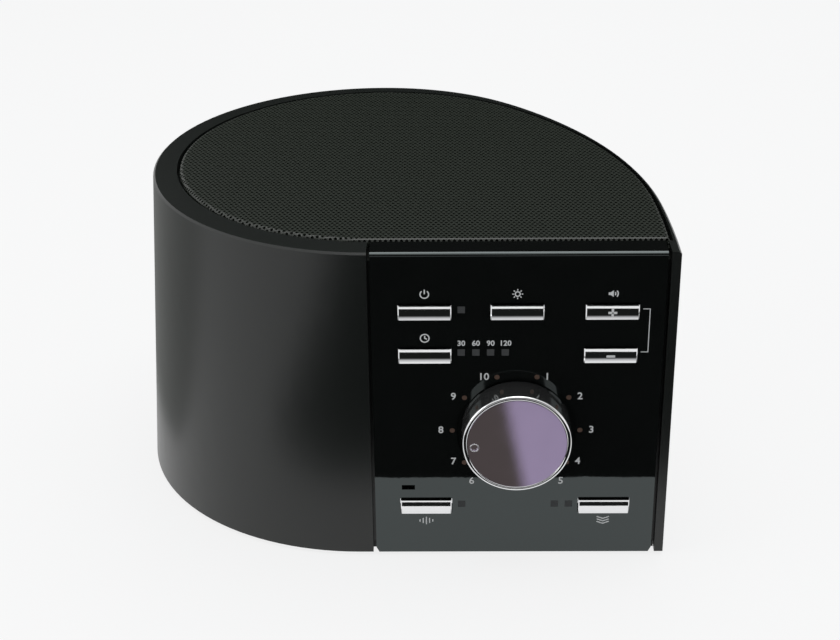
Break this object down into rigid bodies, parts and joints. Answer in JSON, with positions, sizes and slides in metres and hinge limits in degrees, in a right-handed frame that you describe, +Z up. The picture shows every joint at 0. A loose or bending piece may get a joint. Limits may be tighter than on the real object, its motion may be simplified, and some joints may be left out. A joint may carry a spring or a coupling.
{
  "type": "white noise sound machine",
  "caption": "Bedside white noise sound machine with a flared round cabinet, perforated top grille, flat glossy control panel, large selector knob and chrome keys.",
  "frame": {"origin": "under the middle of the whole object's box, on the surface that the feet stand on", "axes": "+X to the right along the control panel, +Y from the panel to the back, +Z up"},
  "size_m": [0.1968, 0.1826, 0.1219],
  "materials": {
    "satin_black": "satin",
    "gloss_black": "gloss",
    "grille_paint": "satin",
    "black_chrome": "polished",
    "bright_chrome": "polished",
    "knob_lens": "gloss",
    "amber_lens": "satin",
    "rubber_black": "matte",
    "foam_grey": "matte",
    "inner_plastic": "matte",
    "board_green": "satin",
    "chip_black": "matte",
    "steel": "satin",
    "frame_steel": "satin",
    "ferrite": "matte",
    "cone_paper": "matte",
    "ribbon_grey": "satin",
    "light_white": "gloss"
  },
  "bodies": {
    "cabinet": {"base_plate": "inner_plastic", "base_screws": "steel", "casing": "satin_black", "dial_windows": "amber_lens", "encoder_body": "steel", "encoder_nut": "steel", "foot_front_left": "rubber_black", "foot_front_right": "rubber_black", "foot_rear_left": "rubber_black", "foot_rear_right": "rubber_black", "front_board": "board_green", "front_board_screws": "steel", "front_fascia": "gloss_black", "grille": "grille_paint", "headphone_socket": "inner_plastic", "light_chips": "light_white", "main_board": "board_green", "main_board_parts": "chip_black", "main_board_screws": "steel", "microphone": "steel", "microphone_gasket": "rubber_black", "power_socket": "inner_plastic", "ribbon_cable": "ribbon_grey", "ribbon_sockets": "light_white", "speaker_cone": "cone_paper", "speaker_dust_cap": "cone_paper", "speaker_frame": "frame_steel", "speaker_gasket": "foam_grey", "speaker_magnet": "ferrite", "speaker_screws": "steel", "speaker_surround": "foam_grey", "status_windows": "amber_lens", "tact_switches": "chip_black"},
    "knob": {"knob_body": "black_chrome", "knob_ring": "bright_chrome", "knob_face": "knob_lens", "encoder_shaft": "steel"},
    "power_button": {"power_key": "bright_chrome", "power_plunger": "chip_black"},
    "display_button": {"display_key": "bright_chrome", "display_plunger": "chip_black"},
    "timer_button": {"timer_key": "bright_chrome", "timer_plunger": "chip_black"},
    "volume_up_button": {"volume_up_key": "bright_chrome", "volume_up_plunger": "chip_black"},
    "volume_down_button": {"volume_down_key": "bright_chrome", "volume_down_plunger": "chip_black"},
    "auto_level_button": {"auto_level_key": "bright_chrome", "auto_level_plunger": "chip_black"},
    "layer_button": {"layer_key": "bright_chrome", "layer_plunger": "chip_black"}
  },
  "joints": [
    {"name": "knob_turn", "type": "hinge", "parent": "cabinet", "child": "knob", "pos_m": [0.04409, -0.08535, 0.05284], "axis": [0, 1, 0], "continuous": true},
    {"name": "power_press", "type": "slide", "parent": "cabinet", "child": "power_button", "axis": [0, 1, 0], "range_m": [0, 0.0006], "stiffness_N_per_m": 400, "springref_m": -0.0008},
    {"name": "display_press", "type": "slide", "parent": "cabinet", "child": "display_button", "axis": [0, 1, 0], "range_m": [0, 0.0006], "stiffness_N_per_m": 400, "springref_m": -0.0008},
    {"name": "timer_press", "type": "slide", "parent": "cabinet", "child": "timer_button", "axis": [0, 1, 0], "range_m": [0, 0.0006], "stiffness_N_per_m": 400, "springref_m": -0.0008},
    {"name": "volume_up_press", "type": "slide", "parent": "cabinet", "child": "volume_up_button", "axis": [0, 1, 0], "range_m": [0, 0.0006], "stiffness_N_per_m": 400, "springref_m": -0.0008},
    {"name": "volume_down_press", "type": "slide", "parent": "cabinet", "child": "volume_down_button", "axis": [0, 1, 0], "range_m": [0, 0.0006], "stiffness_N_per_m": 400, "springref_m": -0.0008},
    {"name": "auto_level_press", "type": "slide", "parent": "cabinet", "child": "auto_level_button", "axis": [0, 1, 0], "range_m": [0, 0.0006], "stiffness_N_per_m": 400, "springref_m": -0.0008},
    {"name": "layer_press", "type": "slide", "parent": "cabinet", "child": "layer_button", "axis": [0, 1, 0], "range_m": [0, 0.0006], "stiffness_N_per_m": 400, "springref_m": -0.0008}
  ]
}
